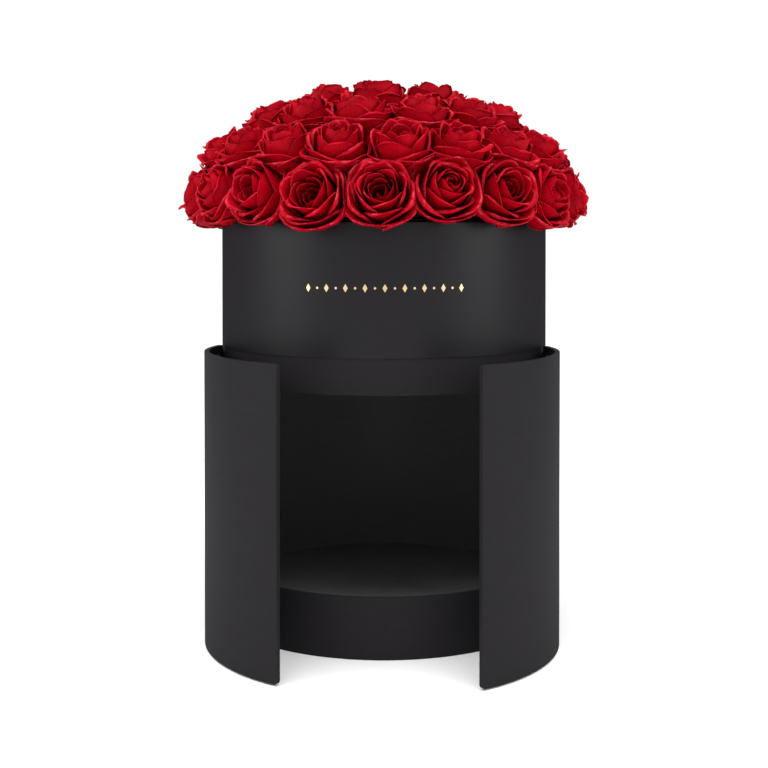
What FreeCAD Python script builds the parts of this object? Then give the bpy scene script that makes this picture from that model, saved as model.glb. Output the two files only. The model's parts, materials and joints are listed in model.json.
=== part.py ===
"""Two-tier round flower box: a drum of cut roses on a cylindrical cabinet with two curved doors.

Millimetres. +Z is up, the cabinet's window and doors face -Y, and the origin is the centre of the base
on the surface that the box stands on. Bearings are measured about +Z from the front (-Y), positive
towards +X. The doors are built ajar, as they rest.
"""

import FreeCAD, Part
import math
import os

Vec = FreeCAD.Vector
UP = Vec(0, 0, 1)

# Board and paper
PAPER = 0.3
CABINET_BOARD = 2.5
DRUM_BOARD = 3.2
PANEL_BOARD = 2.9
DISC_BOARD = 3.0

# Cabinet and drum
INNER_R = 121.5  # inside of both tubes, which share the neck collar
CABINET_TOP = 207.0
DRUM_TOP = 300.0
DRUM_R = INNER_R + DRUM_BOARD + PAPER
CABINET_R = INNER_R + CABINET_BOARD + PAPER
WINDOW_LOW = 43.0
WINDOW_HIGH = 181.5
WINDOW_HALF_ANGLE = 60.0
FLOOR_TOP = 21.0
FLOOR_BOARD = 2.5
CEILING_LOW = 183.2
COLLAR_WALL = 2.5
COLLAR_TOP = 232.0
RIM_TURN_IN = 15.0

# Outer panels: one fixed round the back, two doors
PANEL_R = 129.0
PANEL_INNER_R = PANEL_R - 2 * PAPER - PANEL_BOARD
DOOR_TOP = 208.5
BACK_PANEL_TOP = 203.5
DOOR_CLEARANCE = 0.8
HINGE_ANGLE = 73.4
PANEL_GAP_ANGLE = 0.25
EDGE_TURN_IN = 6.0
CORNER_R = 2.5
REST_OPENING = {"left": 29.8, "right": 32.8}
SPACER_HALF_ANGLE = 90.0
SPACER_MARGIN = 8.0
CLOTH = 0.2
CLOTH_LEAF = 9.0

# Magnets in the doors, and steel keepers in the cabinet behind them
MAGNET_R = 5.0
MAGNET_THICKNESS = 1.5
MAGNET_FACE_R = 126.1
KEEPER_THICKNESS = 1.0
KEEPER_FACE_R = 123.8
MAGNET_ANGLE = 6.0
MAGNET_HEIGHTS = (22.0, 194.0)

# Foil ornament on the drum
ORNAMENT_Z = 255.0
ORNAMENT_BEARING = 2.5  # the drum sits turned this far on the cabinet
ORNAMENT_STEP = 6.25
LOZENGES_EACH_SIDE = 4
LOZENGE_WIDTH = 3.4
LOZENGE_HEIGHT = 5.8
DOT_R = 0.85
FOIL = 0.1

# Liner tub and floral foam
TUB_R = 120.8
TUB_WALL = 0.8
TUB_TOP = 294.0
TUB_CLEARANCE = 0.3
FOAM_R = 119.6
DOME_BASE_R = 115.0
DOME_HEIGHT = 65.0
DOME_BASE_Z = 303.0

# Roses: their faces lie on an ellipsoid
BLOOM_DOME_R = 160.0
BLOOM_DOME_HEIGHT = 110.0
HEAD_PROFILE = ((0, 10), (4, 17.5), (8, 20), (12, 19.5), (22, 16.5), (34, 10), (42, 4.5))  # depth, radius
STEM_R = 2.5
STEM_END_DEPTH = 74.0
SWING_STEP = 80.0
# name: latitude on the ellipsoid in radians, its rise and fall round the ring, how far the roses point
# upward in degrees, their number, and the bearing of the first
ROSE_RINGS = {
    "rose_ring_1": (0.215, 0.022, 18.0, 19, 0.8),
    "rose_ring_2": (0.63, 0.0, 62.0, 18, 7.4),
    "rose_ring_3": (0.95, 0.0, 74.0, 13, -8.0),
    "rose_ring_4": (1.25, 0.0, 83.0, 7, -4.0),
    "crown_rose": (math.pi / 2, 0.0, 90.0, 1, 0.0),
}


# ---- shapes ----


def around(shape, bearing):
    """The shape turned about +Z by a bearing."""
    turned = shape.copy()
    turned.rotate(Vec(0, 0, 0), UP, bearing)
    return turned


def disc(radius, low, high):
    return Part.makeCylinder(radius, high - low, Vec(0, 0, low))


def ring(inner, outer, low, high):
    return disc(outer, low, high).cut(disc(inner, low, high))


def sector(inner, outer, low, high, first, last):
    """A piece of a ring between two bearings."""
    turn = last - first
    wedge = Part.makeCylinder(outer, high - low, Vec(0, 0, low), UP, turn)
    wedge = wedge.cut(Part.makeCylinder(inner, high - low, Vec(0, 0, low), UP, turn))
    return around(wedge, first - 90)


def button(radius, inner_face, thickness, height, bearing):
    """A flat disc whose axis points outward at a bearing, its inner face this far from the box's axis."""
    return around(Part.makeCylinder(radius, thickness, Vec(0, -inner_face, height), Vec(0, -1, 0)), bearing)


def rounded_free_corners(shape, radius, bearing):
    """Rounds the corners, seen from outside, of a curved panel's edge at this bearing."""
    edge_direction = Vec(math.sin(math.radians(bearing)), -math.cos(math.radians(bearing)), 0)
    corners = []
    for edge in shape.Edges:
        first, last = (vertex.Point for vertex in (edge.Vertexes[0], edge.Vertexes[-1]))
        span = last - first
        along = abs(span.dot(edge_direction)) / max(span.Length, 1e-9)
        middle = (first + last) / 2
        aside = abs(middle.x * edge_direction.y - middle.y * edge_direction.x)
        if along > 0.9999 and aside < 0.01 and middle.dot(edge_direction) > 0:
            corners.append(edge)
    return shape.makeFillet(radius, corners)


def revolved(points):
    """A solid of revolution about +Z from (radius, height) points."""
    outline = [Vec(radius, 0, height) for radius, height in points]
    face = Part.Face(Part.makePolygon(outline + outline[:1]))
    return face.revolve(Vec(0, 0, 0), UP, 360)


# ---- cabinet and drum ----


def window(grow=0.0):
    turn = WINDOW_HALF_ANGLE + math.degrees(grow / INNER_R)
    return sector(INNER_R - 5, DRUM_R + 5, WINDOW_LOW - grow, WINDOW_HIGH + grow, -turn, turn)


def keepers():
    low_face = KEEPER_FACE_R - KEEPER_THICKNESS
    return [
        button(MAGNET_R, low_face, KEEPER_THICKNESS, height, side * MAGNET_ANGLE)
        for height in MAGNET_HEIGHTS
        for side in (-1, 1)
    ]


def cabinet():
    board_r = INNER_R + CABINET_BOARD
    board = ring(INNER_R, board_r, 0, CABINET_TOP - PAPER).cut(window(PAPER))
    skin = ring(INNER_R, CABINET_R, 0, CABINET_TOP).cut(window()).cut(board)
    for height in MAGNET_HEIGHTS:
        for side in (-1, 1):
            pocket = button(MAGNET_R, KEEPER_FACE_R - KEEPER_THICKNESS, 3, height, side * MAGNET_ANGLE)
            board = board.cut(pocket.common(ring(INNER_R, board_r, 0, CABINET_TOP)))
    return {
        "base_disc": disc(INNER_R, 0, DISC_BOARD),
        "cabinet_tube": board,
        "cabinet_wrap": skin,
        "cabinet_lining": ring(INNER_R - PAPER, INNER_R, FLOOR_TOP, CEILING_LOW).cut(window()),
        "floor_spacer_ring": ring(INNER_R - 3.5, INNER_R, DISC_BOARD, FLOOR_TOP - FLOOR_BOARD - PAPER),
        "compartment_floor": disc(INNER_R, FLOOR_TOP - FLOOR_BOARD - PAPER, FLOOR_TOP - PAPER),
        "floor_paper": disc(INNER_R, FLOOR_TOP - PAPER, FLOOR_TOP),
        "compartment_ceiling": disc(INNER_R, CEILING_LOW, CEILING_LOW + DISC_BOARD),
        "neck_collar": ring(INNER_R - COLLAR_WALL, INNER_R, CEILING_LOW + DISC_BOARD, COLLAR_TOP),
        "magnet_keepers": Part.Compound(keepers()),
    }


def drum():
    board = ring(INNER_R, DRUM_R - PAPER, CABINET_TOP + PAPER, DRUM_TOP - PAPER)
    skin = ring(INNER_R - PAPER, DRUM_R, CABINET_TOP, DRUM_TOP).cut(board)
    skin = skin.cut(ring(INNER_R - PAPER, INNER_R, CABINET_TOP, DRUM_TOP - RIM_TURN_IN))
    return {
        "drum_floor": disc(INNER_R, COLLAR_TOP, COLLAR_TOP + DISC_BOARD),
        "drum_tube": board,
        "drum_wrap": skin,
        "foil_ornament": Part.Compound(ornament()),
    }


def ornament():
    """A row of lozenges with a dot between each two, hot-stamped round the front of the drum."""
    foil = ring(DRUM_R, DRUM_R + FOIL, ORNAMENT_Z - LOZENGE_HEIGHT, ORNAMENT_Z + LOZENGE_HEIGHT)
    start = -(DRUM_R + 1)
    corners = [
        Vec(LOZENGE_WIDTH / 2, start, ORNAMENT_Z),
        Vec(0, start, ORNAMENT_Z + LOZENGE_HEIGHT / 2),
        Vec(-LOZENGE_WIDTH / 2, start, ORNAMENT_Z),
        Vec(0, start, ORNAMENT_Z - LOZENGE_HEIGHT / 2),
    ]
    lozenge = Part.Face(Part.makePolygon(corners + corners[:1])).extrude(Vec(0, 3, 0)).common(foil)
    dot = Part.makeCylinder(DOT_R, 3, Vec(0, start, ORNAMENT_Z), Vec(0, 1, 0)).common(foil)
    marks = [lozenge]
    for place in range(1, LOZENGES_EACH_SIDE + 1):
        for side in (-1, 1):
            marks.append(around(lozenge, side * place * ORNAMENT_STEP))
            marks.append(around(dot, side * (place - 0.5) * ORNAMENT_STEP))
    return [around(mark, ORNAMENT_BEARING) for mark in marks]


# ---- outer panels ----


def covered_panel(low, high, first, last, cloth_bearings, free_bearing=None):
    """The board, outer wrap with turned-in edges, inner lining and hinge cloth of one curved panel."""
    paper_angle = math.degrees(PAPER / PANEL_R)
    turn_in_angle = math.degrees(EDGE_TURN_IN / PANEL_R)
    board_r = PANEL_R - PAPER
    whole = sector(PANEL_INNER_R, PANEL_R, low, high, first, last)
    board = sector(
        PANEL_INNER_R + PAPER, board_r, low + PAPER, high - PAPER, first + paper_angle, last - paper_angle
    )
    if free_bearing is not None:
        inward = paper_angle if free_bearing == first else -paper_angle
        whole = rounded_free_corners(whole, CORNER_R, free_bearing)
        board = rounded_free_corners(board, CORNER_R - PAPER, free_bearing + inward)
    lining = sector(
        PANEL_INNER_R,
        PANEL_INNER_R + PAPER,
        low + EDGE_TURN_IN,
        high - EDGE_TURN_IN,
        first + turn_in_angle,
        last - turn_in_angle,
    )
    wrap = whole.cut(board).cut(lining)
    cloth = []
    for bearing in cloth_bearings:
        inward = 1 if bearing == first else -1
        ends = sorted(
            (bearing + inward * paper_angle, bearing + inward * math.degrees(CLOTH_LEAF / PANEL_R))
        )
        cloth.append(sector(board_r - CLOTH, board_r, low + EDGE_TURN_IN, high - EDGE_TURN_IN, *ends))
        board = board.cut(cloth[-1])
    return board, wrap, lining, cloth


def back_panel():
    first = HINGE_ANGLE + PANEL_GAP_ANGLE / 2
    last = 360 - first
    board, wrap, _, cloth = covered_panel(0, BACK_PANEL_TOP, first, last, (first, last))
    spacer = sector(
        CABINET_R,
        PANEL_INNER_R + PAPER,
        SPACER_MARGIN,
        BACK_PANEL_TOP - SPACER_MARGIN,
        180 - SPACER_HALF_ANGLE,
        180 + SPACER_HALF_ANGLE,
    )
    return {
        "back_panel_board": board,
        "back_panel_wrap": wrap,
        "back_spacer": spacer,
        "right_hinge_cloth_fixed": cloth[0],
        "left_hinge_cloth_fixed": cloth[1],
    }


def door(side):
    """One door, made closed and then turned about its hinge to where it rests."""
    hinge_edge = HINGE_ANGLE - PANEL_GAP_ANGLE / 2
    free_edge = PANEL_GAP_ANGLE / 2
    toward = 1 if side == "right" else -1
    first, last = sorted((toward * free_edge, toward * hinge_edge))
    board, wrap, lining, cloth = covered_panel(
        DOOR_CLEARANCE, DOOR_TOP, first, last, (toward * hinge_edge,), toward * free_edge
    )
    magnets = []
    for height in MAGNET_HEIGHTS:
        bearing = toward * MAGNET_ANGLE
        magnets.append(button(MAGNET_R, MAGNET_FACE_R, MAGNET_THICKNESS, height, bearing))
        pocket_depth = MAGNET_FACE_R + MAGNET_THICKNESS - (PANEL_INNER_R - 2)
        pocket = button(MAGNET_R, PANEL_INNER_R - 2, pocket_depth, height, bearing)
        board = board.cut(pocket)
    pieces = {
        f"{side}_door_board": board,
        f"{side}_door_wrap": wrap,
        f"{side}_door_lining": lining,
        f"{side}_hinge_cloth_moving": cloth[0],
        f"{side}_door_magnets": Part.Compound(magnets),
    }
    hinge_turn = math.radians(toward * HINGE_ANGLE)
    hinge = Vec(PANEL_R * math.sin(hinge_turn), -PANEL_R * math.cos(hinge_turn), 0)
    for shape in pieces.values():
        shape.rotate(hinge, UP, toward * REST_OPENING[side])
    return pieces


# ---- flower insert ----


def foam_dome():
    steps = 12
    arc = []
    for step in range(steps):
        rise = math.pi / 2 * step / steps
        arc.append((DOME_BASE_R * math.cos(rise), DOME_BASE_Z + DOME_HEIGHT * math.sin(rise)))
    return revolved([(0, DOME_BASE_Z)] + arc + [(0, DOME_BASE_Z + DOME_HEIGHT)])


def rose_head():
    """One rose head, its face at the origin and pointing up."""
    outline = [(radius, -depth) for depth, radius in HEAD_PROFILE]
    return revolved([(0, 0)] + outline + [(0, -HEAD_PROFILE[-1][0])])


def rose_stem():
    """The stem below a head, pushed into the foam."""
    length = STEM_END_DEPTH - HEAD_PROFILE[-1][0]
    return Part.makeCylinder(STEM_R, length, Vec(0, 0, -STEM_END_DEPTH))


def around_ring(shape, latitude, swing, upward, count, first_bearing):
    """Copies of a rose's piece, made at the origin and pointing up, spaced round a ring of the dome."""
    copies = []
    for place in range(count):
        step = place if place <= count // 2 else place - count
        here = latitude + swing * math.sin(math.radians(SWING_STEP * step))
        copy = shape.copy()
        copy.rotate(Vec(0, 0, 0), Vec(1, 0, 0), 90 - upward)
        height = DOME_BASE_Z + BLOOM_DOME_HEIGHT * math.sin(here)
        copy.translate(Vec(0, -BLOOM_DOME_R * math.cos(here), height))
        copies.append(around(copy, first_bearing + 360 / count * step))
    return copies


def flower_insert():
    tub_low = COLLAR_TOP + DISC_BOARD + TUB_CLEARANCE
    tub = disc(TUB_R, tub_low, TUB_TOP).cut(disc(TUB_R - TUB_WALL, tub_low + TUB_WALL, TUB_TOP))
    pieces = {
        "liner_tub": tub,
        "foam_base": disc(FOAM_R, tub_low + TUB_WALL, DOME_BASE_Z),
        "foam_dome": foam_dome(),
    }
    stems = []
    for name, layout in ROSE_RINGS.items():
        pieces[name] = Part.Compound(around_ring(rose_head(), *layout))
        stems += around_ring(rose_stem(), *layout)
    pieces["rose_stems"] = Part.Compound(stems)
    return pieces


def main():
    os.makedirs("parts", exist_ok=True)
    box = {**cabinet(), **drum(), **back_panel(), **door("left"), **door("right")}
    nodes = {**box, **flower_insert()}
    for name, shape in nodes.items():
        shape.exportStep(f"parts/{name}.step")
        volume = shape.Volume / 1000
        print(f"{name}: {len(shape.Solids)} solid(s), {volume:.1f} cm3, valid {shape.isValid()}")


main()
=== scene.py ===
"""Looks of the two-tier round flower box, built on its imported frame.

Metres, +Z up. The window and doors face -Y. Bearings are measured about +Z from the front, positive
towards +X.
"""

import json
import math

import bpy
import numpy as np
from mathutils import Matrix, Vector, noise as field


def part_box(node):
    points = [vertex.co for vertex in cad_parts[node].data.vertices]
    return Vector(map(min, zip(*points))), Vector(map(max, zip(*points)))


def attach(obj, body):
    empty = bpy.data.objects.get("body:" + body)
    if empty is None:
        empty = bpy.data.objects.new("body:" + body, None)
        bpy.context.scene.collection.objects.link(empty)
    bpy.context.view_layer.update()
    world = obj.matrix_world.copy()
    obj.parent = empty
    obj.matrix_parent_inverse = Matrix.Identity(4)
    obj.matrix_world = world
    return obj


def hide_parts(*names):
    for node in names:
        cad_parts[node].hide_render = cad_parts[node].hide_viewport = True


MM = 0.001
UP = np.array([0.0, 0.0, 1.0])

# ---- roses: where they are ----

# Their faces lie on an ellipsoid, in rings
BLOOM_DOME_R = 160 * MM
BLOOM_DOME_HEIGHT = 110 * MM
BLOOM_DOME_Z = 303 * MM
SWING_STEP = math.radians(80)  # the phase of a ring's rise and fall from one rose to the next
# node: latitude on the ellipsoid in radians, its rise and fall round the ring, how far the roses point
# upward in degrees, their number, and the bearing of the first
ROSE_RINGS = {
    "rose_ring_1": (0.215, 0.022, 18.0, 19, 0.8),
    "rose_ring_2": (0.63, 0.0, 62.0, 18, 7.4),
    "rose_ring_3": (0.95, 0.0, 74.0, 13, -8.0),
    "rose_ring_4": (1.25, 0.0, 83.0, 7, -4.0),
    "crown_rose": (math.pi / 2, 0.0, 90.0, 1, 0.0),
}
# How open the roses at the front of the rim are, by their place in the ring: 0 is a bud, 1 is fully open
FRONT_ROSES = {0: 0.85, 1: 0.1, 2: 0.75, 3: 0.4, 18: 1.0, 17: 0.7, 16: 0.15}
MOST_OPEN = 0.9  # of the other roses
ROSE_TILT = 0.05  # how much the roses stray from their directions, in radians
FIRST_SEED = 4000

# ---- roses: how they pack together ----

RIM_ROSE_REACH = 25.5 * MM  # how far petals spread from the heart, down over the drum's rim
ROSE_REACH = 33 * MM  # and elsewhere
REACH_SOFTNESS = 5 * MM
NEIGHBOUR_DEPTH = 12 * MM  # below the face, where neighbouring heads press on each other
NEIGHBOUR_REACH = 66 * MM  # heads further apart than this don't touch
SQUEEZE = 5 * MM  # how gradually petals flatten against a neighbour
OVERLAP = 1.5 * MM
TUCK = 0.45  # how far pressed petals go down into the gap, for each unit they are pressed back
RIM_CLEARANCE = 0.8 * MM
DRAPE_REACH = 6 * MM  # petals this far outside the drum may hang below its rim by the drop
DRAPE_DROP = 14 * MM
DRAPE_SOFTNESS = 2 * MM

# ---- petals ----

# From the bud's heart outward, then the guard petals that spread below the head
PETALS = 21
GUARD_PETALS = 5
FIRST_GUARD_AGE = 1.05
GUARD_AGE_STEP = 0.04
GOLDEN_ANGLE = math.radians(137.5)
PETAL_COLUMNS = 17
PETAL_ROWS = 9
LIP_ROWS = 5
LIP_SHARE = 0.1  # of a petal's reach, for the lip that curls over
PETAL_THICKNESS = 0.45 * MM
LIP_THINNING = 0.6  # how much thinner it is at its edge
THINNING_STARTS = 0.8
# A thin painted highlight along the petal's lip: where along the petal it lies, and how wide it is
PAINTED_HIGHLIGHT_REACH = 0.945
PAINTED_HIGHLIGHT_WIDTH = 0.02
VEIN_STEP = 5.0  # sets each petal's veins apart from those of the petal before

# ---- paper, foam and studio ----

# Each paper's dark and light shade, then the weight and refraction of its satin coat
PAPERS = {
    "black_paper": ((0.0058, 0.0047, 0.0061), (0.0087, 0.0075, 0.0093), 0.04, 4.0),
    # A lighter copy of the black paper for the doors and the fixed panel: its lighter colour is painted light
    "door_paper_painted_light": ((0.0115, 0.0106, 0.012), (0.0155, 0.0143, 0.0161), 0.12, 1.5),
    # A lighter copy of the black paper for the band under the drum and the base ring, lifting the shade
    # between the doors: painted light
    "cabinet_paper_painted_light": ((0.0155, 0.0143, 0.0161), (0.0205, 0.0189, 0.0213), 0.03, 1.5),
    "lining_paper": ((0.075, 0.075, 0.075), (0.1, 0.1, 0.1), 0.01, 4.0),
    # A lighter copy of the lining for the compartment's floor: painted light
    "floor_lining_painted_light": ((0.115, 0.115, 0.115), (0.15, 0.15, 0.15), 0.01, 4.0),
}

SEAM_WIDTH = 12 * MM
SEAM_EDGE = 0.3 * MM  # how far it stands proud at its open edge
SEAM_ROOT = 0.08 * MM  # how deep it starts inside the wrap
SEAM_COLUMNS = 9
SEAM_ROWS = 12
SEAM_MARGIN = 0.2 * MM
RIM_SEAM_MARGIN = 0.4 * MM

FOAM_INSET = 0.3 * MM
FOAM_CORE_R = 2 * MM  # the rings of points stop here, and a flat face closes the middle
FOAM_ROWS = 70
FOAM_COLUMNS = 160
# Depth in mm, and how fine the pattern is, of the dents pressed into the foam and of its crumbled pits
FOAM_DENTS = ((1.2, 45), (0.8, 190))

FLOOR_HALF_WIDTH = 6.0
FLOOR_GAP = 0.2 * MM
# Each softbox's bearing in degrees, distance and height, its width and height, and its power in watts
SOFTBOXES = {
    "left_softbox": (-66, 1.75, 0.6, (1.05, 0.7), 10.5),
    "right_softbox": (70, 1.75, 0.6, (1.05, 0.7), 10),
    "top_softbox": (0, 0.5, 1.7, (1.4, 1.0), 24),
}
LIGHT_TARGET = Vector((0, 0, 0.25))
WORLD_STRENGTH = 1.03

CAMERA_DISTANCE = 0.9937
CAMERA_HEIGHT = 0.2914
CAMERA_AZIMUTH = math.radians(2.2)
CAMERA_PITCH = 0.016
CAMERA_LENS = 59.8
CAMERA_SHIFT = -0.1675

# ---- node helpers ----


def new_material(name):
    """A material and its node tree, with no nodes in it."""
    material = bpy.data.materials.new(name)
    material.use_nodes = True
    material.node_tree.nodes.clear()
    return material, material.node_tree


def add(tree, kind, inputs=None, **settings):
    """A node with its settings and inputs. An input is a value, or a socket to link."""
    node = tree.nodes.new(kind)
    for name, value in settings.items():
        setattr(node, name, value)
    for name, value in (inputs or {}).items():
        socket = node.inputs[name]
        if isinstance(value, bpy.types.NodeSocket):
            tree.links.new(value, socket)
        else:
            socket.default_value = value
    return node


def math_node(tree, operation, first, second=0.0, third=0.0):
    node = add(tree, "ShaderNodeMath", {0: first, 1: second, 2: third}, operation=operation)
    return node.outputs[0]


def blend_values(tree, share, first, second):
    """The first value with a share of the second."""
    return math_node(tree, "MULTIPLY_ADD", math_node(tree, "SUBTRACT", second, first), share, first)


def opaque(colour):
    """A colour with its alpha, from red, green and blue. A socket stays as it is."""
    return colour if isinstance(colour, bpy.types.NodeSocket) else (*colour, 1)


def mix_colour(tree, share, first, second):
    """The first colour with a share of the second."""
    inputs = {"Factor": share, 6: opaque(first), 7: opaque(second)}
    return add(tree, "ShaderNodeMix", inputs, data_type="RGBA").outputs[2]


def ramp(tree, factor, stops):
    """A colour ramp through (position, colour) stops."""
    node = add(tree, "ShaderNodeValToRGB", {"Fac": factor})
    elements = node.color_ramp.elements
    for _ in stops[2:]:
        elements.new(0.5)
    for element, (position, colour) in zip(elements, stops):
        element.position = position
        element.color = opaque(colour)
    return node.outputs["Color"]


def noise(tree, scale, stretch=(1, 1, 1), detail=3.0, roughness=0.5):
    """Noise in the object's own space, its features stretched along the axes with small factors."""
    coordinates = add(tree, "ShaderNodeTexCoord").outputs["Object"]
    mapping = add(tree, "ShaderNodeMapping", {"Vector": coordinates, "Scale": stretch})
    texture = add(
        tree,
        "ShaderNodeTexNoise",
        {"Vector": mapping.outputs[0], "Scale": scale, "Detail": detail, "Roughness": roughness},
    )
    return texture.outputs["Fac"]


def remap(tree, value, low, high, to_low, to_high):
    node = add(
        tree,
        "ShaderNodeMapRange",
        {"Value": value, "From Min": low, "From Max": high, "To Min": to_low, "To Max": to_high},
    )
    return node.outputs[0]


def finish_material(tree, colour, roughness, height=None, depth=0.0, others=None):
    """Adds the surface shader and its output, with a bump where a height is given."""
    inputs = {"Base Color": colour, "Roughness": roughness, **(others or {})}
    principled = add(tree, "ShaderNodeBsdfPrincipled", inputs)
    if height is not None:
        bump = add(tree, "ShaderNodeBump", {"Height": height, "Distance": depth})
        tree.links.new(bump.outputs[0], principled.inputs["Normal"])
    add(tree, "ShaderNodeOutputMaterial", {"Surface": principled.outputs[0]})


# ---- materials ----


def laid_paper(name, shade, light_shade, coat, coat_ior):
    """Dyed wrapping paper with a fine horizontal laid grain, faint cross fibres and a satin finish."""
    material, tree = new_material(name)
    lines = noise(tree, 40.0, (1, 1, 42), roughness=0.6)
    fibres = noise(tree, 300.0, (3, 3, 0.35), 2.0, 0.6)
    cloud = noise(tree, 9.0)
    height = blend_values(tree, 0.3, lines, fibres)
    fleck = remap(tree, height, 0.35, 0.65, 0.0, 1.0)
    colour = mix_colour(tree, blend_values(tree, 0.35, fleck, cloud), shade, light_shade)
    roughness = remap(tree, height, 0.3, 0.7, 0.9, 0.75)
    satin = {
        "Specular IOR Level": 0.0,
        "Coat Weight": coat,
        "Coat Roughness": 0.4,
        "Coat IOR": coat_ior,
    }
    finish_material(tree, colour, roughness, height, 0.05 * MM, satin)
    return material


def greyboard():
    """Pulp board, with fine fibres over the faint layers of its cut edge."""
    material, tree = new_material("greyboard")
    fibre = noise(tree, 700.0, detail=4.0, roughness=0.6)
    layers = noise(tree, 60.0, detail=2.0)
    tone = blend_values(tree, 0.3, fibre, layers)
    colour = mix_colour(tree, tone, (0.16, 0.145, 0.13), (0.31, 0.29, 0.265))
    finish_material(tree, colour, 0.92, fibre, 0.15 * MM)
    return material


def hinge_cloth():
    """Black bookbinding cloth, its weave made of noise stretched both ways."""
    material, tree = new_material("hinge_cloth")
    warp = noise(tree, 900.0, (1, 1, 0.2), 1.0)
    weft = noise(tree, 900.0, (0.2, 0.2, 1), 1.0)
    weave = blend_values(tree, 0.5, warp, weft)
    colour = mix_colour(tree, weave, (0.008, 0.008, 0.009), (0.03, 0.03, 0.032))
    finish_material(tree, colour, 0.9, weave, 0.15 * MM)
    return material


def gold_foil():
    """Hot-stamped foil: bright metal that has taken a little of the paper's grain."""
    material, tree = new_material("gold_foil")
    grain = noise(tree, 500.0, (1, 1, 6), 2.0, 0.6)
    cloud = noise(tree, 45.0, detail=2.0)
    colour = mix_colour(tree, cloud, (0.62, 0.44, 0.2), (0.85, 0.68, 0.38))
    roughness = remap(tree, grain, 0.3, 0.7, 0.24, 0.4)
    finish_material(tree, colour, roughness, grain, 0.03 * MM, {"Metallic": 1.0})
    return material


def plated_steel():
    """Bright plating with fine scratches."""
    material, tree = new_material("plated_steel")
    scratch = noise(tree, 600.0, (1, 1, 0.1), 2.0, 0.6)
    colour = mix_colour(tree, scratch, (0.5, 0.5, 0.52), (0.68, 0.68, 0.7))
    roughness = remap(tree, scratch, 0.3, 0.7, 0.25, 0.4)
    finish_material(tree, colour, roughness, scratch, 0.02 * MM, {"Metallic": 1.0})
    return material


def tub_plastic():
    """Thin formed plastic with faint ripples."""
    material, tree = new_material("tub_plastic")
    ripple = noise(tree, 35.0, detail=2.0)
    colour = mix_colour(tree, ripple, (0.005, 0.005, 0.005), (0.01, 0.01, 0.011))
    roughness = remap(tree, ripple, 0.3, 0.7, 0.42, 0.55)
    finish_material(tree, colour, roughness, ripple, 0.4 * MM)
    return material


def floral_foam():
    """Wet floral foam, fine-celled and pitted. Its near-black dark green is painted shade, for the gaps
    between the roses.
    """
    material, tree = new_material("floral_foam")
    cells = noise(tree, 900.0, roughness=0.7)
    pits = noise(tree, 120.0, roughness=0.6)
    height = blend_values(tree, 0.5, cells, pits)
    cell = remap(tree, height, 0.3, 0.7, 0.0, 1.0)
    # Near-black green: painted shade for the foam seen in the gaps between the roses
    colour = mix_colour(tree, cell, (0.001, 0.003, 0.0015), (0.006, 0.016, 0.006))
    finish_material(tree, colour, 0.85, height, 0.8 * MM)
    return material


def stem_green():
    """Green bark, streaked along the stem."""
    material, tree = new_material("stem_green")
    streak = noise(tree, 250.0, (1, 1, 0.15), roughness=0.6)
    colour = mix_colour(tree, streak, (0.012, 0.04, 0.008), (0.05, 0.12, 0.025))
    finish_material(tree, colour, 0.55, streak, 0.2 * MM)
    return material


def rose_petal():
    """Velvet red petals, faintly veined: darker towards the base, which is painted shade, and a thin pale
    line along parts of the lip, which is a painted highlight.
    """
    material, tree = new_material("rose_petal")
    reach = add(tree, "ShaderNodeAttribute", attribute_name="reach").outputs["Fac"]
    vein = add(tree, "ShaderNodeAttribute", attribute_name="vein").outputs["Fac"]
    spread = math_node(tree, "MULTIPLY", vein, 11.0)
    fan = add(tree, "ShaderNodeCombineXYZ", {"X": spread, "Y": reach}).outputs[0]
    veins = add(tree, "ShaderNodeTexNoise", {"Vector": fan, "Scale": 1.6, "Detail": 3.0}).outputs["Fac"]
    cloud = noise(tree, 70.0, roughness=0.55)
    patch = noise(tree, 220.0, roughness=0.6)
    # Darker towards the petals' bases, deep in the flower's crevices and heart: painted shade
    colour = ramp(
        tree,
        reach,
        [
            (0.0, (0.045, 0.0, 0.0006)),
            (0.4, (0.18, 0.0002, 0.0025)),
            (0.75, (0.375, 0.0007, 0.007)),
            (0.9, (0.44, 0.001, 0.011)),
            (1.0, (0.39, 0.001, 0.011)),
        ],
    )
    shadow = remap(tree, blend_values(tree, 0.5, cloud, veins), 0.38, 0.62, 0.55, 0.0)
    colour = mix_colour(tree, shadow, colour, (0.2, 0.0003, 0.004))
    # Painted highlight: a thin pale pink line near the crest of the lip, in patches
    from_painted_highlight = math_node(tree, "ABSOLUTE", math_node(tree, "SUBTRACT", reach, PAINTED_HIGHLIGHT_REACH))
    line = remap(tree, from_painted_highlight, 0.0, PAINTED_HIGHLIGHT_WIDTH, 1.0, 0.0)
    line = math_node(tree, "MULTIPLY", line, remap(tree, patch, 0.47, 0.62, 0.0, 0.4))
    colour = mix_colour(tree, line, colour, (0.75, 0.15, 0.22))
    roughness = remap(tree, patch, 0.3, 0.7, 0.5, 0.65)
    height = blend_values(tree, 0.35, veins, patch)
    velvet = {"Specular IOR Level": 0.0, "Coat Weight": 0.1, "Coat Roughness": 0.42}
    finish_material(tree, colour, roughness, height, 0.3 * MM, velvet)
    return material


def studio_floor():
    """Matt white, very slightly mottled."""
    material, tree = new_material("studio_floor")
    colour = mix_colour(tree, noise(tree, 30.0), (0.965, 0.965, 0.965), (0.985, 0.985, 0.985))
    finish_material(tree, colour, 0.85)
    return material


# ---- meshes ----


def step_shares(line):
    """How far along a line each of its points is, from 0 to 1."""
    steps = np.concatenate([[0], np.cumsum(np.linalg.norm(np.diff(line, axis=0), axis=1))])
    return steps / steps[-1]


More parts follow.
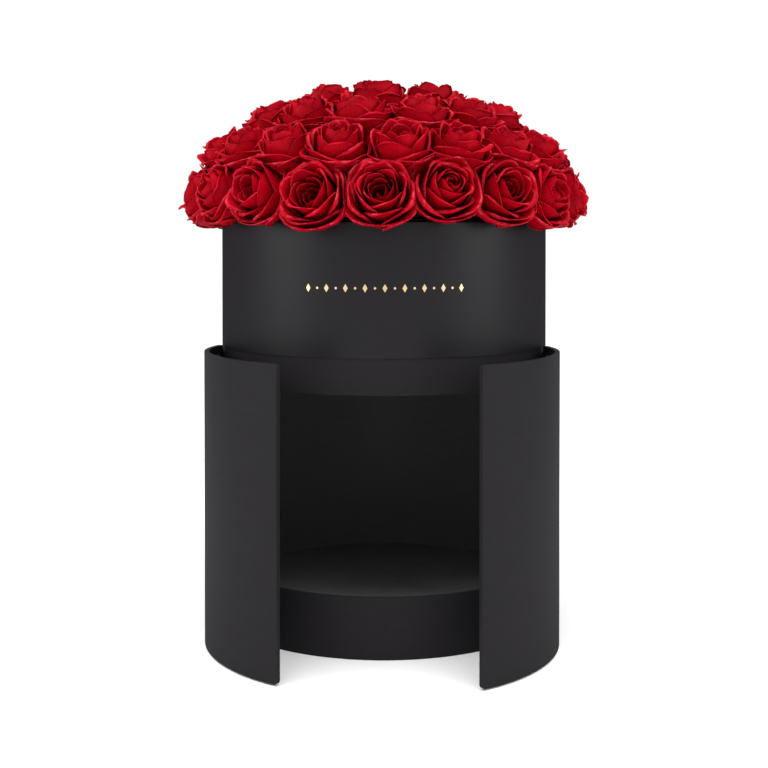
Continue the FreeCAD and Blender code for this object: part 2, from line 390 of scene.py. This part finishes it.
def rounded_line(points, rounds=3):
    """A polyline with its corners cut again and again, its ends kept."""
    line = np.array(points, float)
    for _ in range(rounds):
        near = line[:-1] * 0.75 + line[1:] * 0.25
        far = line[:-1] * 0.25 + line[1:] * 0.75
        cut = np.stack([near, far], 1).reshape(-1, 2)
        line = np.vstack([line[:1], cut, line[-1:]])
    return line


def smooth_step(value):
    value = min(max(value, 0.0), 1.0)
    return value * value * (3 - 2 * value)


def soft_limit(values, limit, soft):
    """Values that level off towards a limit."""
    over = values - (limit - soft)
    return np.where(over > 0, limit - soft * np.exp(-over / soft), values)


def four_corners(index):
    """Corners of the faces between neighbours in a grid of vertex numbers."""
    return np.stack([index[:-1, :-1], index[:-1, 1:], index[1:, 1:], index[1:, :-1]], -1).reshape(-1, 4)


def shell(grid, thickness, first_index):
    """A closed thin shell round a grid of points: its vertices and faces."""
    normal = np.cross(np.gradient(grid, axis=0), np.gradient(grid, axis=1))
    normal /= np.maximum(np.linalg.norm(normal, axis=-1, keepdims=True), 1e-9)
    rows, columns = grid.shape[:2]
    front = (grid + normal * thickness / 2).reshape(-1, 3)
    back = (grid - normal * thickness / 2).reshape(-1, 3)
    to_back = rows * columns
    index = np.arange(to_back).reshape(rows, columns) + first_index
    rim = np.concatenate([index[0, :-1], index[:-1, -1], index[-1, :0:-1], index[:0:-1, 0]])
    after = np.roll(rim, -1)
    faces = [
        four_corners(index)[:, [0, 3, 2, 1]],
        four_corners(index + to_back),
        np.stack([rim, after, after + to_back, rim + to_back], -1),
    ]
    return np.vstack([front, back]), np.vstack(faces)


def frame_of(axis, spin):
    """Two directions across an axis, turned about it, and the axis."""
    level = np.cross(UP, axis)
    if np.linalg.norm(level) < 1e-6:
        level = np.array([1.0, 0.0, 0.0])
    level /= np.linalg.norm(level)
    upward = np.cross(axis, level)
    first = level * math.cos(spin) + upward * math.sin(spin)
    return np.stack([first, np.cross(axis, first), axis])


def mesh_object(name, vertices, faces, material, smooth=True):
    mesh = bpy.data.meshes.new(name)
    mesh.from_pydata(vertices.tolist(), [], faces)
    mesh.materials.append(material)
    mesh.polygons.foreach_set("use_smooth", [smooth] * len(mesh.polygons))
    piece = bpy.data.objects.new(name, mesh)
    bpy.context.scene.collection.objects.link(piece)
    return piece


def add_attribute(piece, name, values):
    attribute = piece.data.attributes.new(name, "FLOAT", "POINT")
    attribute.data.foreach_set("value", values.astype(np.float32))


# ---- roses ----


def rose_places():
    """Each rose's node, face centre and outward direction."""
    places = []
    for node, (latitude, swing, upward, count, first_bearing) in ROSE_RINGS.items():
        slope = math.radians(upward)
        for place in range(count):
            step = place if place <= count // 2 else place - count
            here = latitude + swing * math.sin(SWING_STEP * step)
            bearing = math.radians(first_bearing) + 2 * math.pi / count * step
            around = np.array([math.sin(bearing), -math.cos(bearing), 0.0])
            rise = BLOOM_DOME_Z + BLOOM_DOME_HEIGHT * math.sin(here)
            face = around * BLOOM_DOME_R * math.cos(here) + UP * rise
            places.append((node, face, around * math.cos(slope) + UP * math.sin(slope)))
    return places


def ripple(across, fewest, most, rng):
    """A wave across a petal that starts anywhere, with this many half waves on each side of the middle."""
    return np.sin(across * math.pi * rng.uniform(fewest, most) + rng.uniform(0, 2 * math.pi))


def petal_outline(across, outer, rng):
    """How much of its length a petal has at each column: all in the middle, less towards its sides."""
    side = np.abs(across)
    frill = ripple(across, 1.5, 3.2, rng)
    tip = 0.01 * outer * np.exp(-((across / 0.25) ** 2))
    return 0.42 + 0.58 * (1 - side**2.3) ** 0.5 + tip + 0.012 * outer * frill * (1 - side**2)


def petal_section(age, openness, rng):
    """The middle of a petal from base to lip: shares of the way along it, and radius and height there.

    Age is 0 at the heart, 1 outside and over 1 for guards. The numbers here are in mm, with the rose's face
    at height 0.
    """
    inner = min(age, 1.0)
    guard = min(max(age - 1, 0) / 0.05, 1)

    # The lips stand further out from petal to petal, at first slowly in a bud
    spread = 1.25 - 0.3 * openness
    rim = (1.6 + 1.4 * openness + 20.5 * inner**spread + 5.5 * guard) * (1 + rng.normal(0, 0.025))

    # They rise from the sunken heart to a crest, and fall away outside it
    heart = -3.5 - 13.0 * openness
    peak = 0.3 + 0.25 * openness
    top = -2.5 - 1.5 * openness
    crest = heart + (top - heart) * smooth_step(inner / peak)
    crest -= 11.5 * max(0.0, (inner - peak) / (1 - peak)) ** 1.4 + 3.0 * guard
    crest += rng.normal(0, 0.35 + 0.35 * inner + 1.2 * openness * max(0.0, 0.5 - age))

    belly = 4.6 + 15.0 * inner**0.8 + 1.5 * guard
    points = [
        (1.0 + 1.6 * age, -41.0),
        (belly * 0.7, -37.5),
        (belly, -28.0),
        (belly * 0.6 + rim * 0.38, -11.5 + crest * 0.5),
        (rim - 0.3 * age, crest),
    ]
    line = rounded_line(points) * MM
    return step_shares(line), line


def along_section(section, share):
    """Radius and height at a share of the way along a section."""
    shares, line = section
    return np.interp(share, shares, line[:, 0]), np.interp(share, shares, line[:, 1])


def curled_lip(section, outline, across, outer, openness, rng):
    """Radius and height of the rows past a petal's edge, which curl over, away from the heart."""
    edge_r, edge_z = along_section(section, outline)
    before_r, before_z = along_section(section, outline - 0.05)
    length = np.hypot(before_r - edge_r, before_z - edge_z)
    outward = (edge_r - before_r) / length
    upward = (edge_z - before_z) / length
    curl = (0.35 + (1.7 + 0.5 * openness) * outer**1.3) * MM
    curl = curl * (1 - 0.5 * np.abs(across) ** 2) * (1 + rng.normal(0, 0.15))
    uneven = 0.78 + 0.3 * ripple(across, 0.7, 1.8, rng)
    full_turn = math.radians(30 + 115 * outer**0.8 + rng.normal(0, 12)) * uneven
    turn = np.linspace(0, 1, LIP_ROWS + 1)[1:, None] * full_turn
    sine = np.sin(turn)
    bulge = 1 - np.cos(turn)
    lip_r = edge_r + curl * (sine * outward + bulge * upward)
    lip_z = edge_z + curl * (sine * upward - bulge * outward)
    return lip_r, lip_z


def petal_grid(age, bearing, openness, lowest, spin, rng):
    """One petal in the rose's own frame, its face up, in rows from base to rim.

    Gives its points, how far along the petal each one is, and how far across.
    """
    across = np.sin(np.linspace(-math.pi / 2, math.pi / 2, PETAL_COLUMNS))[None, :]
    along = (1 - (1 - np.linspace(0, 1, PETAL_ROWS)) ** 1.35)[:, None]
    side = np.abs(across)
    outer = min(age, 1.0)
    outline = petal_outline(across, outer, rng)
    section = petal_section(age, openness, rng)
    radius, height = along_section(section, along * outline)
    lip_r, lip_z = curled_lip(section, outline, across, outer, openness, rng)
    radius = np.vstack([radius, lip_r])
    height = np.vstack([height, lip_z])
    lip = np.linspace(0, 1, LIP_ROWS + 1)[1:, None]
    along = np.vstack([along * (1 - LIP_SHARE), 1 - LIP_SHARE + LIP_SHARE * lip])

    # Inner petals wrap the heart, and guards are broad
    half_width = 1.04 + (1.2 - 0.5 * openness) * (1 - outer) ** 1.7 + rng.normal(0, 0.07)
    half_width += 0.3 * min(max(age - 0.9, 0) / 0.1, 1)
    widening = 0.35 + 0.65 * np.sin(np.minimum(along / 0.6, 1) * math.pi / 2)
    turn = across * half_width * widening

    # Outer petals are flatter, inner ones spiral, and lips wave
    flat = 0.08 * outer * along
    radius = radius * (1 + flat * (1 / np.cos(np.clip(turn, -1.05, 1.05)) - 1))
    spiral = 1.8 * (1 - outer) ** 1.2 * MM
    wave = (0.2 + 1.2 * outer) * MM * along**4 * (1 - 0.8 * side**2) * ripple(across, 1.0, 2.6, rng)
    lean = rng.normal(0, 0.6) * MM * outer * across * along
    radius = radius + spiral * across * along + wave * 0.7
    height = height + wave + lean

    turn = bearing + turn
    below = np.maximum(np.cos(turn + spin), 0) ** 2
    limit = ROSE_REACH + (lowest - ROSE_REACH) * below
    radius = soft_limit(radius, limit + rng.uniform(-1.5, 0) * MM, REACH_SOFTNESS)
    points = np.stack([radius * np.sin(turn), -radius * np.cos(turn), height], -1)
    return points, np.broadcast_to(along, radius.shape), np.broadcast_to(across * half_width, radius.shape)


def keep_apart(points, axis, own, others):
    """Presses points back near the planes midway to the neighbouring heads, and tucks them down there."""
    for other in others:
        gap = other - own
        away = gap / np.linalg.norm(gap)
        past = (points - (own + other) / 2) @ away - OVERLAP
        squeezed = np.where(past > -SQUEEZE, -SQUEEZE * np.exp(-(past + SQUEEZE) / SQUEEZE), past)
        moved = squeezed - past
        points = points + moved[..., None] * away + TUCK * moved[..., None] * axis
    return points


def keep_off_drum(points, drum_r, drum_top):
    """Lifts points that would sink into the drum, so that petals lie over its rim."""
    reach = np.hypot(points[..., 0], points[..., 1])
    over = np.clip((reach - drum_r - RIM_CLEARANCE) / DRAPE_REACH, 0, 1)
    floor = drum_top + RIM_CLEARANCE - over * DRAPE_DROP
    depth = points[..., 2] - floor
    eased = DRAPE_SOFTNESS * np.exp((depth - DRAPE_SOFTNESS) / DRAPE_SOFTNESS)
    points = points.copy()
    points[..., 2] = floor + np.where(depth < DRAPE_SOFTNESS, eased, depth)
    return points


def make_rose(name, face, axis, others, drum, openness, lowest, material, rng):
    """One rose of separate petals, packed against its neighbours. Lowest is how far it reaches downward."""
    spin = rng.uniform(0, 2 * math.pi)
    tilt = axis + rng.normal(0, ROSE_TILT, 3)
    turned = frame_of(tilt / np.linalg.norm(tilt), spin)
    own = face - axis * NEIGHBOUR_DEPTH
    parts = {"vertices": [], "faces": [], "reach": [], "vein": []}
    count = 0
    for number in range(PETALS + GUARD_PETALS):
        age = number / (PETALS - 1)
        bearing = number * GOLDEN_ANGLE + rng.normal(0, 0.1 + 0.2 * openness * max(0.0, 1 - 2 * age))
        if number >= PETALS:
            guard = number - PETALS
            age = FIRST_GUARD_AGE + GUARD_AGE_STEP * guard
            bearing = 2 * math.pi / GUARD_PETALS * guard - spin + rng.normal(0, 0.2)
        grid, reach, vein = petal_grid(age, bearing, openness, lowest, spin, rng)
        grid = keep_apart(face + grid @ turned, axis, own, others)
        grid = keep_off_drum(grid, *drum)
        thinned = LIP_THINNING * np.clip((reach - THINNING_STARTS) / (1 - THINNING_STARTS), 0, 1)
        points, faces = shell(grid, PETAL_THICKNESS * (1 - thinned)[..., None], count)
        parts["vertices"].append(points)
        parts["faces"].append(faces)
        parts["reach"] += [reach.reshape(-1)] * 2
        parts["vein"] += [vein.reshape(-1) + VEIN_STEP * number] * 2
        count += len(points)
    piece = mesh_object(name, np.vstack(parts["vertices"]), np.vstack(parts["faces"]).tolist(), material)
    for attribute in ("reach", "vein"):
        add_attribute(piece, attribute, np.concatenate(parts[attribute]))
    return piece


def add_roses(material):
    places = rose_places()
    low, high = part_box("drum_wrap")
    drum = ((high[0] - low[0]) / 2, high[2])
    heads = [face - axis * NEIGHBOUR_DEPTH for _, face, axis in places]
    for number, (node, face, axis) in enumerate(places):
        rng = np.random.default_rng(FIRST_SEED + number)
        others = [
            head
            for place, head in enumerate(heads)
            if place != number and np.linalg.norm(head - heads[number]) < NEIGHBOUR_REACH
        ]
        openness = FRONT_ROSES.get(number, rng.uniform(0.0, MOST_OPEN))
        lowest = RIM_ROSE_REACH if node == "rose_ring_1" else ROSE_REACH
        piece = make_rose(f"rose_{number + 1:02d}", face, axis, others, drum, openness, lowest, material, rng)
        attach(piece, "flower_insert")
        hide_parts(node)


# ---- foam ----


def foam_profile(node):
    """Radius and height of a foam piece, from the middle of its base to the middle of its top."""
    low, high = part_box(node)
    radius = (high[0] - low[0]) / 2 - FOAM_INSET
    base = low[2] + FOAM_INSET
    top = high[2] - FOAM_INSET
    outline = [(FOAM_CORE_R, base)]
    if node == "foam_base":
        outline += [(radius, base), (radius, top), (FOAM_CORE_R, top)]
    else:
        quarter = np.linspace(0, 0.98 * math.pi / 2, 10)
        outline += [(radius * math.cos(angle), base + (top - base) * math.sin(angle)) for angle in quarter]
    return np.array(outline)


def add_foam(node, material):
    """A block of foam with pressed dents and crumbled pits, in the space of its CAD solid."""
    outline = foam_profile(node)
    even = np.linspace(0, 1, FOAM_ROWS)
    radius, height = along_section((step_shares(outline), outline), even)
    middle = Vector((0, 0, (height[0] + height[-1]) / 2))
    vertices = []
    for row in range(FOAM_ROWS):
        for column in range(FOAM_COLUMNS):
            bearing = 2 * math.pi * column / FOAM_COLUMNS
            point = Vector((radius[row] * math.sin(bearing), -radius[row] * math.cos(bearing), height[row]))
            dent = sum(depth * max(0, field.noise(point * fineness)) for depth, fineness in FOAM_DENTS)
            vertices.append(point + (middle - point).normalized() * dent * MM)
    index = np.arange(FOAM_ROWS * FOAM_COLUMNS).reshape(FOAM_ROWS, FOAM_COLUMNS)
    after = np.roll(index, -1, axis=1)
    faces = np.stack([index[:-1], after[:-1], after[1:], index[1:]], -1).reshape(-1, 4).tolist()
    faces += [index[0, ::-1].tolist(), index[-1].tolist()]
    piece = mesh_object(node + "_block", np.array(vertices), faces, material)
    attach(piece, "flower_insert")
    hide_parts(node)


# ---- the box ----


def dress_box(frame, papers):
    """Gives every carried-over CAD node its material."""
    by_slot = {
        "black_paper": papers["black_paper"],
        "lining_paper": papers["lining_paper"],
        "greyboard": greyboard(),
        "hinge_cloth": hinge_cloth(),
        "magnet_steel": plated_steel(),
        "gold_foil": gold_foil(),
        "tub_plastic": tub_plastic(),
        "stem_green": stem_green(),
    }
    by_node = {
        # The compartment's floor gets the lighter copy of the lining, which is painted light
        "floor_paper": papers["floor_lining_painted_light"],
        # The band under the drum and the base ring get the lighter copy of the black paper, which is painted
        # light
        "cabinet_wrap": papers["cabinet_paper_painted_light"],
        # The fixed panel and the doors get the lighter copy of the black paper, which is painted light
        "back_panel_wrap": papers["door_paper_painted_light"],
        "left_door_wrap": papers["door_paper_painted_light"],
        "right_door_wrap": papers["door_paper_painted_light"],
    }
    for part in frame["record"]["subparts"]:
        if part["material_slot"] in by_slot:
            mesh = frame["nodes"][part["node"]].data
            mesh.materials.clear()
            mesh.materials.append(by_node.get(part["node"], by_slot[part["material_slot"]]))


def add_seam(name, node, low, high, material):
    """The overlap that closes a paper wrap at the back: one edge stands proud, the other fades away."""
    box_low, box_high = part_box(node)
    radius = (box_high[0] - box_low[0]) / 2
    from_root = np.linspace(0, 1, SEAM_COLUMNS)
    bearing = math.pi + SEAM_WIDTH / radius * (from_root - 0.5)
    bearing, rise = np.meshgrid(bearing, np.linspace(low, high, SEAM_ROWS))
    proud = np.broadcast_to(SEAM_EDGE * from_root, bearing.shape)
    out = radius + (proud - SEAM_ROOT) / 2
    grid = np.stack([out * np.sin(bearing), -out * np.cos(bearing), rise], -1)
    points, faces = shell(grid, (proud + SEAM_ROOT)[..., None], 0)
    piece = mesh_object(name, points, faces.tolist(), material, smooth=False)
    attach(piece, "cabinet")


def add_seams(papers):
    """The seams at the back of the fixed panel's wrap and of the drum's."""
    panel_low, panel_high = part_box("back_panel_wrap")
    _, drum_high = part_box("drum_wrap")
    _, cabinet_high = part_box("cabinet_wrap")
    low = panel_low[2] + SEAM_MARGIN
    high = panel_high[2] - SEAM_MARGIN
    add_seam("panel_wrap_seam", "back_panel_wrap", low, high, papers["door_paper_painted_light"])
    low = cabinet_high[2] + SEAM_MARGIN
    high = drum_high[2] - RIM_SEAM_MARGIN
    add_seam("drum_wrap_seam", "drum_wrap", low, high, papers["black_paper"])


# ---- studio ----


def add_floor():
    corners = [(-1, -1), (1, -1), (1, 1), (-1, 1)]
    points = np.array([(x * FLOOR_HALF_WIDTH, y * FLOOR_HALF_WIDTH, -FLOOR_GAP) for x, y in corners])
    floor = mesh_object("studio_floor", points, [(0, 1, 2, 3)], studio_floor(), smooth=False)


def add_softbox(name, bearing, distance, height, size, power):
    """A rectangular light, aimed at the box."""
    data = bpy.data.lights.new(name, "AREA")
    data.shape = "RECTANGLE"
    data.size, data.size_y = size
    data.energy = power
    light = bpy.data.objects.new(name, data)
    around = math.radians(bearing)
    light.location = (distance * math.sin(around), -distance * math.cos(around), height)
    light.rotation_euler = (LIGHT_TARGET - light.location).to_track_quat("-Z", "Y").to_euler()
    bpy.context.scene.collection.objects.link(light)


def add_lights():
    for name, settings in SOFTBOXES.items():
        add_softbox(name, *settings)
    world = bpy.data.worlds.new("studio")
    world.use_nodes = True
    background = world.node_tree.nodes["Background"]
    background.inputs["Color"].default_value = (1, 1, 1, 1)
    background.inputs["Strength"].default_value = WORLD_STRENGTH
    bpy.context.scene.world = world
    bpy.context.scene.view_settings.view_transform = "Standard"


def add_camera():
    """Just below the drum's rim, nearly level, and shifted down to the base so that uprights stay upright."""
    data = bpy.data.cameras.new("camera")
    data.lens = CAMERA_LENS
    data.shift_y = CAMERA_SHIFT
    camera = bpy.data.objects.new("camera", data)
    across = CAMERA_DISTANCE * math.sin(CAMERA_AZIMUTH)
    camera.location = (across, -CAMERA_DISTANCE * math.cos(CAMERA_AZIMUTH), CAMERA_HEIGHT)
    camera.rotation_euler = (math.pi / 2 - CAMERA_PITCH, 0, CAMERA_AZIMUTH)
    bpy.context.scene.collection.objects.link(camera)
    bpy.context.scene.camera = camera


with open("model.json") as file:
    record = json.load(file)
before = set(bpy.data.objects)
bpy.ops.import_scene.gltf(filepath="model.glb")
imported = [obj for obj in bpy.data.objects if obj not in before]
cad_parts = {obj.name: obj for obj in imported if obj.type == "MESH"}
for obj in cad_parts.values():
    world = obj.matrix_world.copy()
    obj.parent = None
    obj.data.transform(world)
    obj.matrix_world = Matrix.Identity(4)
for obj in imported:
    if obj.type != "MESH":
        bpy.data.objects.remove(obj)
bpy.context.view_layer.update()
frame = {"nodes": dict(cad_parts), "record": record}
add_camera()
add_lights()
add_floor()
papers = {name: laid_paper(name, *look) for name, look in PAPERS.items()}
dress_box(frame, papers)
add_seams(papers)
foam = floral_foam()
add_foam("foam_base", foam)
add_foam("foam_dome", foam)
add_roses(rose_petal())
